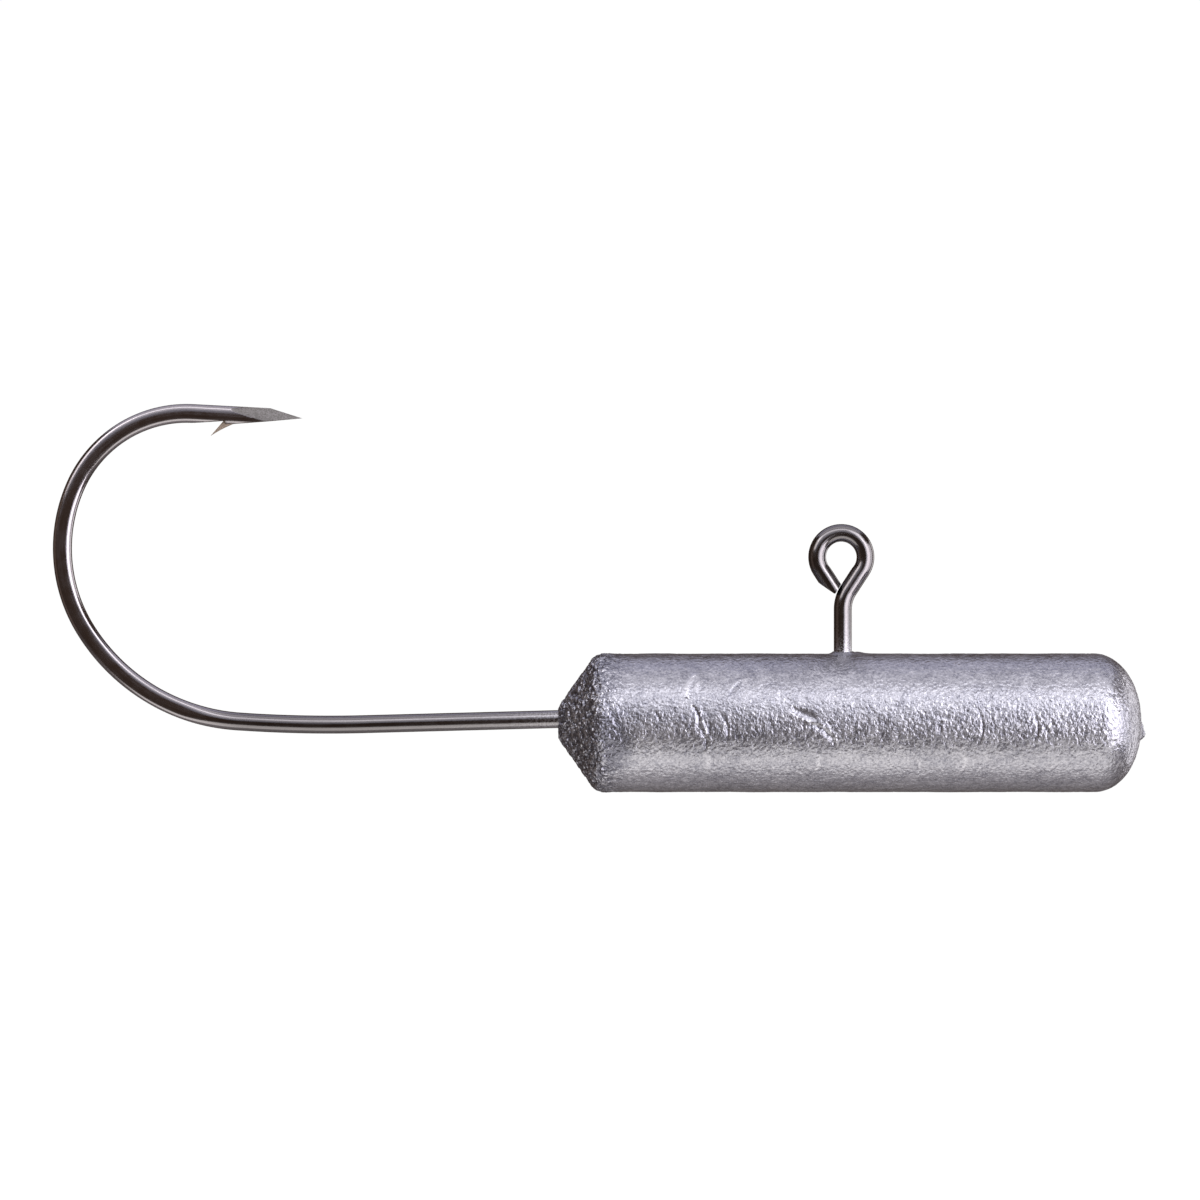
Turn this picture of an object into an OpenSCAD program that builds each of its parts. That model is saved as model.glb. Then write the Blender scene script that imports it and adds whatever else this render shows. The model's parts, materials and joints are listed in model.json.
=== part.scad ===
// Jig head: a lead cylinder cast round the middle of a 90 degree jig hook.
// X runs along the lead, with the nose towards +X and the hook's bend towards -X.
// Z points up, out of the lead through the leg and the line eye.
// The hook lies in the XZ plane, and the origin is the middle of the line eye.

/* [Hook wire] */
// Diameter of the hook wire
wire_d = 1.2; // [1:0.05:1.25]
// Width of the forged bend, measured in the plane of the hook
forged_w = 1.26; // [1.2:0.02:1.36]
// Thickness of the forged bend between its two flat sides
forged_t = 1.0; // [0.8:0.05:1.1]

/* [Line eye] */
// Inner diameter of the line eye
eye_bore_d = 2.06; // [1.8:0.02:2.6]
// Depth of the land that the forming pin presses inside the eye
eye_land = 0.03; // [0.02:0.01:0.06]
// Angle below level where the round part of the eye ends, on each side
eye_v = 33; // [28:1:38]
// Radius of the wire where the eye bends into its leg
neck_r = 2.3; // [1.4:0.1:2.6]
// Distance of the leg in front of the middle of the eye
leg_x = 0.1; // [-0.1:0.05:0.2]
// Gap between the cut end of the wire and the neck
eye_gap = 0.04; // [0.02:0.01:0.1]
// Slope of the bevel on the cut end of the wire
end_bevel_a = 34; // [26:1:42]
// Depth of the bevel below the middle of the eye
end_bevel_drop = 2.73; // [2.5:0.01:2.9]

/* [Leg and shank] */
// Depth of the axis of the lead below the middle of the eye
lead_drop = 11.05; // [10:0.05:13]
// Height of the shank above the axis of the lead, where it leaves the lead
shank_rise = 0.25; // [-0.5:0.05:0.4]
// Slope of the shank, down towards the bend
shank_slope = 1.5; // [0:0.1:2]
// Radius of the elbow inside the lead
elbow_r = 2.4; // [1.5:0.1:3]
// Length of straight shank behind the lead
shank_l = 13; // [11:0.5:20]

/* [Hook bend] */
// Radius of the gentle sweep from the shank into the bend
sweep_r = 88; // [60:2:100]
// Angle of the gentle sweep
sweep_a = 5.5; // [4:0.5:8]
// Radius of the heel, the lower part of the bend
heel_r = 13; // [12:0.1:14]
// Angle of the heel
heel_a = 54; // [50:1:60]
// Radius of the back, the middle part of the bend
back_r = 10.3; // [9.5:0.1:11]
// Angle of the back
back_a = 56; // [50:1:60]
// Radius of the crown, the upper part of the bend
crown_r = 8.1; // [7:0.1:9]
// Slope of the front of the hook, down towards the point
front_slope = 3; // [0:0.5:6]
// Length of the straight front, from the crown to the tip
front_l = 7.3; // [6.9:0.1:9]

/* [Point and barb] */
// Height of the tip above the axis of the wire
tip_rise = 0.06; // [0:0.01:0.1]
// Slope of the ridge along the top of the point
ridge_a = 14.6; // [12:0.2:18]
// Slope of the flat under the point
under_a = 7.4; // [6.8:0.2:9]
// Lean of the two side facets towards the ridge
facet_lean = 26; // [20:1:32]
// Distance of the notch behind the tip
notch_x = 5.1; // [5:0.05:5.3]
// Depth of the notch in the wire
notch_depth = 0.28; // [0.2:0.02:0.3]
// Slope of the chisel cut that raises the barb
chisel_a = 7; // [6:0.5:8]
// Distance of the front of the barb's root behind the tip
barb_root = 4.5; // [4.2:0.1:4.8]
// Length of the barb's root
barb_root_l = 0.7; // [0.65:0.05:0.8]
// Width of the barb at its root
barb_root_w = 0.72; // [0.5:0.02:0.9]
// Distance of the end of the barb behind the tip
barb_x = 6.05; // [5.8:0.05:6.3]
// Depth of the end of the barb below the axis of the wire
barb_drop = 1.42; // [1.2:0.02:1.6]
// Width of the barb at its end
barb_end_w = 0.12; // [0.06:0.02:0.3]

/* [Lead] */
// Diameter of the lead
lead_d = 9.2; // [8:0.1:10]
// Distance of the back of the lead behind the middle of the eye
lead_back = 18.8; // [17:0.1:21]
// Distance of the nose in front of the middle of the eye
lead_front = 19.9; // [17:0.1:23]
// Length of the rounded nose
nose_l = 3.1; // [2:0.1:4]
// Fullness of the nose, where 2 is an ellipse and more is squarer
nose_n = 2.1; // [1.8:0.1:3]
// Diameter of the small flat at the back of the lead
tail_d = 2.1; // [1.9:0.1:2.6]
// Angle between the axis and the tapered back of the lead
tail_a = 55; // [45:1:65]
// Radius of the shoulder between the taper and the cylinder
shoulder_r = 1.1; // [0.6:0.1:1.6]

/* [Pouring stub] */
// Diameter of the broken face of the pouring gate, on the nose
stub_d = 1.2; // [0.8:0.1:1.6]
// Height of the middle of the broken face beyond the nose
stub_h = 0.2; // [0.1:0.05:0.6]
// Distance of the broken face below the axis of the lead
stub_drop = 0.3; // [0:0.1:1]
// Tilt of the broken face, which is highest at its lower edge
stub_tilt = 17; // [0:1:25]
// Angle at which the stub widens into the nose
stub_flare = 35; // [20:1:40]

/* [Hidden] */
$fn = 64;

wire_r = wire_d / 2;
forged_r = forged_w / 2;
eye_r = eye_bore_d / 2 - eye_land + wire_r;
lead_r = lead_d / 2;
// Side of the cubes that cut the wire flat
cut = 20;
// Every second piece of the wire is this much slimmer and laps into its
// neighbours, so that the joints between the pieces close cleanly
slim = 0.002;
lap = 0.02;
// Points on each round stretch of the lead's outline
arc_steps = 16;
// Facets of a whole turn of bent wire
bend_facets = 180;

// Straight wire at the free end, before it is cut beside the neck
end_run = 2.2;
// Straight run that brings the leg to leg_x
neck_run = (eye_r * cos(eye_v) - leg_x - neck_r * (1 - cos(eye_v))) / sin(eye_v);
neck_z = -eye_r * sin(eye_v) - neck_run * cos(eye_v) - neck_r * sin(eye_v);
// Height where the leg and the shank would meet if there were no elbow
corner_z = shank_rise - lead_drop + (lead_back + leg_x) * tan(shank_slope);
elbow_a = 90 - shank_slope;
elbow_t = elbow_r * tan(elbow_a / 2);
leg_run = neck_z - corner_z - elbow_t;
shank_run = (lead_back + leg_x) / cos(shank_slope) - elbow_t + shank_l;
crown_a = 180 + shank_slope + front_slope - sweep_a - heel_a - back_a;

// The wire from its cut end round to the tip of the point. Each step is a straight
// run and then a bend: its radius, and its angle, which is positive to the left.
STEPS = [
    [end_run, eye_r, -180 - 2 * eye_v],
    [neck_run, neck_r, eye_v],
    [leg_run, elbow_r, -elbow_a],
    [shank_run, sweep_r, -sweep_a],
    [0, heel_r, -heel_a],
    [0, back_r, -back_a],
    [0, crown_r, -crown_a],
    [front_l, 0, 0]
];
EYE = 0;
NECK = 1;
LEG = 2;
SHANK = 3;
HEEL = 4;
BACK = 5;
CROWN = 6;
FRONT = 7;

function heading(i) = i == 0 ? 90 + eye_v : heading(i - 1) + STEPS[i - 1][2];
function ahead(h) = [cos(h), sin(h)];
function leftward(h) = [-sin(h), cos(h)];

// Where step i starts and where its bend starts, in the XZ plane
function start(i) =
    i == 0 ? eye_r * [-cos(eye_v), -sin(eye_v)] - end_run * ahead(heading(0))
           : bend_start(i - 1) + bend_shift(i - 1);
function bend_start(i) = start(i) + STEPS[i][0] * ahead(heading(i));
function bend_shift(i) =
    let (h = heading(i), turn = STEPS[i][2])
    sign(turn) * STEPS[i][1] * (leftward(h) - leftward(h + turn));

// Children at a point of the XZ plane, with their X axis along a heading
module along(point, h) {
    translate([point.x, 0, point.y])
        rotate([0, -h, 0])
            children();
}

module round_section(slim = 0) {
    circle(d = wire_d - 2 * slim);
}

// Round wire with the land of the forming pin on its inner side
module eye_section() {
    intersection() {
        circle(d = wire_d);
        translate([eye_land - wire_r, -wire_r]) square(wire_d);
    }
}

module forged_section(slim = 0) {
    intersection() {
        circle(d = forged_w - 2 * slim);
        square([2 * forged_w, forged_t - 2 * slim], center = true);
    }
}

// The straight run of step i, with its section as the child, and longer at both
// ends by the lap
module straight(i, lap = 0) {
    along(start(i), heading(i))
        rotate([0, 90, 0])
            translate([0, 0, -lap])
                linear_extrude(height = STEPS[i][0] + 2 * lap) children();
}

// The bend of step i, with its section as the child, and longer likewise
module bend(i, lap = 0) {
    radius = STEPS[i][1];
    turn = STEPS[i][2];
    lap_a = lap / radius * 180 / PI;
    along(bend_start(i), heading(i))
        translate([0, 0, sign(turn) * radius])
            rotate([90, 0, 0])
                rotate([0, 0, (turn > 0 ? -90 : 90 + turn) - lap_a])
                    rotate_extrude(angle = abs(turn) + 2 * lap_a, $fn = bend_facets)
                        translate([radius, 0]) children();
}

// The round wire that the lead is cast round
module cast_in_wire() {
    straight(LEG, lap) round_section(slim);
    bend(LEG) round_section();
    straight(SHANK, lap) round_section(slim);
}

// Everything above or below a plane through the X axis, to cut with
module above() {
    translate([-cut / 2, -cut / 2, 0]) cube(cut);
}

module below() {
    translate([-cut / 2, -cut / 2, -cut]) cube(cut);
}

// The cut end of the wire, flat beside the neck and bevelled underneath
module free_end() {
    difference() {
        straight(EYE, lap) round_section(slim);
        along(start(NECK), heading(NECK))
            translate([0, 0, -wire_r - eye_gap]) above();
        translate([0, 0, -end_bevel_drop])
            rotate([0, end_bevel_a, 0]) below();
    }
}

// Children with their origin on the axis of the wire, level with the tip
module at_tip() {
    along(bend_start(FRONT), heading(FRONT)) children();
}

// Two side facets that meet in a ridge, and the flat underneath
module point_cuts() {
    translate([0, 0, tip_rise]) {
        for (side = [0, 1])
            mirror([0, side, 0])
                rotate([0, ridge_a, 0])
                    rotate([facet_lean - 90, 0, 0]) above();
        rotate([0, -under_a, 0]) below();
    }
}

// The chisel cut that raises the barb, deepest at the notch
module chisel_cut() {
    translate([-notch_x, 0, notch_depth - forged_r])
        rotate([0, -chisel_a, 0])
            translate([-cut / 2, 0, 0]) below();
}

module front() {
    difference() {
        straight(FRONT, lap) forged_section();
        at_tip() point_cuts();
        at_tip() chisel_cut();
    }
}

// The barb: its side outline, narrowed to its end as seen from below
module barb() {
    at_tip()
        intersection() {
            rotate([90, 0, 0])
                linear_extrude(height = barb_root_w, center = true)
                    polygon([
                        [-barb_root, 0],
                        [-barb_root - barb_root_l, 0],
                        [-barb_root - barb_root_l, notch_depth - forged_r],
                        [-barb_x, -barb_drop],
                        [-barb_root, notch_depth / 2 - forged_r]
                    ]);
            linear_extrude(height = cut, center = true)
                polygon([
                    [-barb_root + lap, -barb_root_w / 2],
                    [-barb_root + lap, barb_root_w / 2],
                    [-barb_x - lap, barb_end_w / 2],
                    [-barb_x - lap, -barb_end_w / 2]
                ]);
        }
}

// The hook: one wire with an eye, a leg, an elbow, a shank, a bend and a point
module hook() {
    color("dimgray") {
        free_end();
        bend(EYE) eye_section();
        straight(NECK, lap) round_section(slim);
        bend(NECK) round_section();
        cast_in_wire();
        bend(SHANK) round_section();
        bend(HEEL, lap) forged_section(slim);
        bend(BACK) forged_section();
        bend(CROWN, lap) forged_section(slim);
        front();
        barb();
    }
}

// Outline of the lead from tail to nose, as radius and distance along the axis
shoulder_start_r = lead_r - shoulder_r * (1 - cos(tail_a));
shoulder_x = (shoulder_start_r - tail_d / 2) / tan(tail_a) - lead_back
    + shoulder_r * sin(tail_a);
lead_outline = concat(
    [[0, -lead_back], [tail_d / 2, -lead_back]],
    [for (k = [0 : arc_steps]) let (a = tail_a * (k / arc_steps - 1))
        [lead_r - shoulder_r * (1 - cos(a)), shoulder_x + shoulder_r * sin(a)]],
    [for (k = [0 : arc_steps]) let (a = 90 * k / arc_steps)
        [lead_r * pow(cos(a), 2 / nose_n),
         lead_front - nose_l * (1 - pow(sin(a), 2 / nose_n))]]
);

module pouring_stub() {
    root_l = nose_l / 2;
    translate([lead_front + stub_h, 0, -lead_drop - stub_drop])
        rotate([0, -stub_tilt - 90, 0])
            cylinder(d1 = stub_d, d2 = stub_d + 2 * root_l * tan(stub_flare), h = root_l);
}

// The lead: cast solid round the leg, the elbow and the front of the shank
module lead_head() {
    color("darkgray")
        difference() {
            union() {
                translate([0, 0, -lead_drop])
                    rotate([0, 90, 0])
                        rotate_extrude() polygon(lead_outline);
                pouring_stub();
            }
            cast_in_wire();
        }
}

hook();
lead_head();
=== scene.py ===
"""Jig head: a black-nickel hook wire, forged and ground, cast into a lead cylinder."""

import json
import math

import bmesh
import bpy
import numpy as np
from bpy.props import FloatProperty, FloatVectorProperty, IntProperty, PointerProperty
from mathutils import Matrix, Vector


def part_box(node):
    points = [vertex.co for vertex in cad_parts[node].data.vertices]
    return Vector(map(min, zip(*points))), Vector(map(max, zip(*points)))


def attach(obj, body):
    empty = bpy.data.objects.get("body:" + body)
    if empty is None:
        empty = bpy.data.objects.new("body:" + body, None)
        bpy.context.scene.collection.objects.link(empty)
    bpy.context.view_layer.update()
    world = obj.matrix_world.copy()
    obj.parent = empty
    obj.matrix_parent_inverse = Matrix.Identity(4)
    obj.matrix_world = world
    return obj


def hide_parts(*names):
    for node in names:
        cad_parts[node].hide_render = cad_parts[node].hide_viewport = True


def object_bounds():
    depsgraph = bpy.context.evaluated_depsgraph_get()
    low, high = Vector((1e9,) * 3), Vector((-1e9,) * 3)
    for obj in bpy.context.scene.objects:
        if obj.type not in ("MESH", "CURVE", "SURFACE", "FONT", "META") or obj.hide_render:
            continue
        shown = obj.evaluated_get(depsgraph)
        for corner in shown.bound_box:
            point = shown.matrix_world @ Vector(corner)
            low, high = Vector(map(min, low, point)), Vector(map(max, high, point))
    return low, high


bl_info = {
    "name": "Jig Head",
    "version": (1, 0, 0),
    "blender": (4, 5, 0),
    "location": "View3D > Sidebar > Jig Head",
    "description": "Makes a jig head: a forged hook wire cast into a lead cylinder",
    "category": "Add Mesh",
}

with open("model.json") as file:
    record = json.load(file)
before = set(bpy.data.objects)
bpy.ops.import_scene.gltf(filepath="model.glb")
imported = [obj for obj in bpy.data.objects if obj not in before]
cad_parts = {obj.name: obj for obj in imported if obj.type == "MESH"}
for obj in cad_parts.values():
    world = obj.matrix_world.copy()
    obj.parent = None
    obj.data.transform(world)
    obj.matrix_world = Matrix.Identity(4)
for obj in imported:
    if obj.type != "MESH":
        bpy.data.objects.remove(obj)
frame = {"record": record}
CAD_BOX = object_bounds()
MOUNTS = {mount["name"]: mount for mount in frame["record"]["mounts"]}
LEAD_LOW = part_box("lead_head")[0]

MM = 0.001
BODY = "root"
SEEN_WHITE = 1.02


# ---------------------------------------------------------------- sizes and colours


def length(name, description, millimetres):
    """A size in metres that the user gives in the sidebar."""
    return FloatProperty(
        name=name,
        description=description,
        default=millimetres * MM,
        precision=5,
        subtype="DISTANCE",
        unit="LENGTH",
    )


def angle(name, description, degrees):
    return FloatProperty(
        name=name,
        description=description,
        default=math.radians(degrees),
        subtype="ANGLE",
        unit="ROTATION",
    )


def share(name, description, default):
    return FloatProperty(
        name=name, description=description, default=default, min=0.0, max=1.0, subtype="FACTOR"
    )


def colour(name, description, default):
    return FloatVectorProperty(
        name=name, description=description, default=default, size=3, min=0.0, max=1.0, subtype="COLOR"
    )


class HookSizes(bpy.types.PropertyGroup):
    wire_radius: length(
        "Wire radius", "Radius of the round wire", MOUNTS["bait_shank"]["dims"]["r_mm"]
    )
    forged_radius: length("Forged radius", "Half width of the forged bend in its plane", 0.63)
    forged_half: length("Forged half thickness", "From the plane of the hook to a forged flat", 0.5)
    forged_edge: length("Forged edge", "How softly a forged flat meets the round edge", 0.42)
    forging_run: length("Forging run", "Length over which the round wire becomes forged", 5.0)
    bore_radius: length(
        "Eye bore radius", "Inner radius of the line eye", MOUNTS["line_eye"]["dims"]["r_mm"]
    )
    eye_land: length("Eye land", "Depth of the band that the forming pin presses in the eye", 0.03)
    eye_dip: angle("Eye dip", "Angle below level at which the round part of the eye ends", 33)
    neck_radius: length("Neck radius", "Radius at which the eye bends into its leg", 2.3)
    leg_x: length("Leg place", "Distance of the leg in front of the middle of the eye", 0.1)
    end_run: length("End run", "Straight wire at the cut end", 2.2)
    end_gap: length("End gap", "Gap between the cut end and the neck", 0.04)
    end_bevel: angle("End bevel", "Slope of the bevel on the cut end", 34)
    end_bevel_drop: length("End bevel drop", "Depth of the bevel below the middle of the eye", 2.73)
    shank_rise: length("Shank rise", "Height of the shank above the axis of the lead at its tail", 0.25)
    shank_slope: angle("Shank slope", "Slope of the shank, down towards the bend", 1.5)
    elbow_radius: length("Elbow radius", "Radius of the elbow inside the lead", 2.4)
    shank_length: length(
        "Shank length", "Straight shank behind the lead", MOUNTS["bait_shank"]["dims"]["length_mm"]
    )
    sweep_radius: length("Sweep radius", "Radius of the gentle sweep behind the shank", 88)
    sweep_turn: angle("Sweep turn", "Angle of the gentle sweep", 5.5)
    heel_radius: length("Heel radius", "Radius of the lower part of the bend", 13)
    heel_turn: angle("Heel turn", "Angle of the lower part of the bend", 54)
    back_radius: length("Back radius", "Radius of the middle part of the bend", 10.3)
    back_turn: angle("Back turn", "Angle of the middle part of the bend", 56)
    crown_radius: length("Crown radius", "Radius of the upper part of the bend", 8.1)
    front_slope: angle("Front slope", "Slope of the front, down towards the tip", 3)
    front_length: length("Front length", "Straight front, from the bend to the tip", 7.3)
    tip_rise: length("Tip rise", "Height of the tip above the middle of the wire", 0.06)
    ridge_slope: angle("Ridge slope", "Slope of the ridge along the top of the point", 14.6)
    under_slope: angle("Under slope", "Slope of the flat under the point", 7.4)
    facet_lean: angle("Facet lean", "Lean of the two side facets towards the ridge", 26)
    notch_place: length("Notch place", "Distance of the notch behind the tip", 5.1)
    notch_depth: length("Notch depth", "Depth of the notch in the wire", 0.28)
    chisel_slope: angle("Chisel slope", "Slope of the chisel cut that raises the barb", 7)
    barb_root: length("Barb root", "Distance of the front of the barb behind the tip", 4.1)
    barb_neck: length("Barb neck", "Distance of the back of the barb's root behind the tip", 5.2)
    barb_end: length("Barb end", "Distance of the end of the barb behind the tip", 6.05)
    barb_drop: length("Barb drop", "Depth of the end of the barb below the middle of the wire", 1.42)
    barb_width: length("Barb width", "Width of the barb at its root", 0.76)
    barb_end_width: length("Barb end width", "Width of the barb at its end", 0.12)
    wire_sides: IntProperty(name="Wire sides", description="Facets round the wire", default=64, min=16)


class LeadSizes(bpy.types.PropertyGroup):
    radius: length("Lead radius", "Radius of the lead", MOUNTS["tube_body"]["dims"]["r_mm"])
    nose_x: length("Nose", "Distance of the nose in front of the middle of the eye", 19.9)
    nose_length: length("Nose length", "Length of the rounded nose", 3.1)
    nose_fullness: FloatProperty(
        name="Nose fullness", description="2 is an ellipse and more is squarer", default=2.1, min=1.0
    )
    tail_radius: length("Tail radius", "Radius of the small flat at the tail", 1.05)
    taper: angle("Taper", "Angle between the axis and the tapered tail", 55)
    shoulder_radius: length("Shoulder radius", "Radius between the taper and the cylinder", 1.1)
    stub_radius: length("Stub radius", "Radius of the broken face of the pouring gate", 0.6)
    stub_height: length("Stub height", "Height of the middle of the broken face", 0.2)
    stub_drop: length("Stub drop", "Distance of the broken face below the axis", 0.3)
    stub_tilt: angle("Stub tilt", "Tilt of the broken face, highest at its lower edge", 17)
    stub_flare: angle("Stub flare", "Angle at which the stub widens into the nose", 35)
    seam_height: length("Seam height", "Height of the line where the two mould halves met", 0.03)
    seam_width: length("Seam width", "Half width of that line", 0.09)
    flash_height: length("Flash height", "How far the lead creeps up the leg", 0.16)
    wave_height: length("Wave height", "Height of the slow waves of the skin", 0.05)
    wave_length: length("Wave length", "Size of the slow waves of the skin", 2.6)
    pit_depth: length("Pit depth", "Depth of the casting pits", 0.045)
    pit_length: length("Pit length", "Size of the casting pits", 0.28)
    grain_height: length("Grain height", "Height of the grain of the skin", 0.022)
    grain_length: length("Grain length", "Size of the grain of the skin", 0.24)
    crust_height: length("Crust height", "Height of the crust on the tapered tail", 0.13)
    crust_length: length("Crust length", "Size of the lumps of that crust", 0.31)
    mesh_gap: length("Mesh gap", "Distance between neighbouring points of the skin", 0.12)
    sides: IntProperty(name="Sides", description="Facets round the lead", default=240, min=24)


class Finishes(bpy.types.PropertyGroup):
    lead_dark: colour("Lead, dark", "Oxidised lead", (0.185, 0.185, 0.225))
    lead_light: colour("Lead, light", "Fresh, rubbed lead", (0.525, 0.523, 0.575))
    nickel: colour("Black nickel", "Plating seen straight on", (0.182, 0.172, 0.180))
    forged_nickel: colour("Forged nickel", "Plating smoothed by forging", (0.32, 0.30, 0.32))
    ground_steel: colour("Ground plating", "Plating over the ground facets", (0.105, 0.100, 0.094))
    bare_steel: colour("Bare steel", "Steel that the chisel bares on the barb", (0.50, 0.41, 0.34))
    floor: colour("Floor", "Plain pale floor", (0.82, 0.81, 0.79))
    floor_fibre: colour("Floor fibre", "Darker fibres in the floor", (0.7, 0.7, 0.7))
    room: colour("Room", "Dim room round the lights", (1.0, 0.66, 0.48))


class StageSizes(bpy.types.PropertyGroup):
    camera_distance: length("Camera distance", "From the camera to the plane of the hook", 222.2)
    camera_drop: length("Camera drop", "Camera below the middle of the object", 0.14)
    camera_side: length("Camera side", "Camera to the right of the middle of the object", 0.05)
    focal_length: FloatProperty(name="Focal length", description="In millimetres", default=100.0)
    floor_drop: length("Floor drop", "Floor below the middle of the eye", 400)
    floor_size: length("Floor size", "Side of the square floor", 12000)
    floor_near: length("Floor near", "Distance at which the floor starts to fade to white", 500)
    floor_far: length("Floor far", "Distance at which the floor has faded to white", 1900)
    floor_glow: share("Floor glow", "How much paler the floor looks than the lights make it", 0.36)
    room_light: share("Room light", "Brightness of the dim room round the lights", 0.09)


# ---------------------------------------------------------------- node trees


def add_node(tree, kind, inputs=(), **settings):
    """Adds a node, sets it, and joins or sets its inputs by name or number."""
    made = tree.nodes.new(kind)
    for name, value in settings.items():
        setattr(made, name, value)
    for name, value in dict(inputs).items():
        if isinstance(value, bpy.types.NodeSocket):
            tree.links.new(value, made.inputs[name])
        else:
            made.inputs[name].default_value = value
    return made


def maths(tree, operation, *values, clamp=False):
    made = add_node(
        tree, "ShaderNodeMath", dict(enumerate(values)), operation=operation, use_clamp=clamp
    )
    return made.outputs[0]


def vector_maths(tree, operation, *values):
    made = add_node(tree, "ShaderNodeVectorMath", dict(enumerate(values)), operation=operation)
    return made.outputs["Vector"]


def between(tree, value, low, high, to_low=0.0, to_high=1.0):
    """Maps value from low..high to another range, with soft ends."""
    ends = {"From Min": low, "From Max": high, "To Min": to_low, "To Max": to_high}
    made = add_node(
        tree, "ShaderNodeMapRange", {"Value": value, **ends}, interpolation_type="SMOOTHSTEP"
    )
    return made.outputs["Result"]


def noise(tree, place, scale, detail, roughness):
    inputs = {"Vector": place, "Scale": scale, "Detail": detail, "Roughness": roughness}
    return add_node(tree, "ShaderNodeTexNoise", inputs).outputs[0]


class ShapeTree:
    """A geometry tree that is started with its named inputs and closed with its finish."""

    def __init__(self, name, inputs):
        self.tree = bpy.data.node_groups.new(name, "GeometryNodeTree")
        face = self.tree.interface
        face.new_socket("Geometry", in_out="INPUT", socket_type="NodeSocketGeometry")
        for title, (kind, default) in inputs.items():
            socket = face.new_socket(title, in_out="INPUT", socket_type=kind)
            if default is not None:
                socket.default_value = default
        face.new_socket("Geometry", in_out="OUTPUT", socket_type="NodeSocketGeometry")
        self.given = self.tree.nodes.new("NodeGroupInput").outputs

    def add(self, kind, inputs=(), **settings):
        return add_node(self.tree, kind, inputs, **settings)

    def named(self, name, kind="FLOAT"):
        node = self.add("GeometryNodeInputNamedAttribute", {"Name": name}, data_type=kind)
        return node.outputs["Attribute"]

    def store(self, geometry, name, value):
        node = self.add(
            "GeometryNodeStoreNamedAttribute",
            {"Geometry": geometry, "Name": name, "Value": value},
            data_type="FLOAT",
            domain="POINT",
        )
        return node.outputs["Geometry"]

    def close(self, geometry):
        real = self.add("GeometryNodeRealizeInstances", {"Geometry": geometry})
        done = self.add(
            "GeometryNodeSetMaterial",
            {"Geometry": real.outputs["Geometry"], "Material": self.given["Finish"]},
        )
        self.add("NodeGroupOutput", {"Geometry": done.outputs["Geometry"]})
        return self.tree


def run_tree(tree, mesh, values):
    """The plain mesh that a geometry tree makes of a mesh."""
    holder = bpy.data.objects.new("holder", mesh)
    modifier = holder.modifiers.new(tree.name, "NODES")
    modifier.node_group = tree
    for socket in tree.interface.items_tree:
        if socket.in_out == "INPUT" and socket.name in values:
            modifier[socket.identifier] = values[socket.name]
    bpy.context.scene.collection.objects.link(holder)
    made = evaluated_mesh(holder)
    holder.modifiers.remove(modifier)
    bpy.data.objects.remove(holder)
    return made


def evaluated_mesh(holder):
    bpy.context.view_layer.update()
    depsgraph = bpy.context.evaluated_depsgraph_get()
    return bpy.data.meshes.new_from_object(
        holder.evaluated_get(depsgraph), preserve_all_data_layers=True, depsgraph=depsgraph
    )


def size_inputs(titles):
    """The named inputs of a tree: one distance for each size, and the finish."""
    inputs = {title: ("NodeSocketFloat", 0.0) for title in titles}
    inputs["Finish"] = ("NodeSocketMaterial", None)
    return inputs


def size_values(group, titles, finish):
    """What the user's sizes and the finish give to those inputs."""
    values = {title: getattr(group, title.lower().replace(" ", "_")) for title in titles}
    values["Finish"] = finish
    return values


WIRE_SIZES = ("Wire Radius", "Forged Radius", "Forged Half", "Forged Edge")
SKIN_SIZES = (
    "Wave Height",
    "Wave Length",
    "Pit Depth",
    "Pit Length",
    "Grain Height",
    "Grain Length",
    "Crust Height",
    "Crust Length",
)


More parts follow.
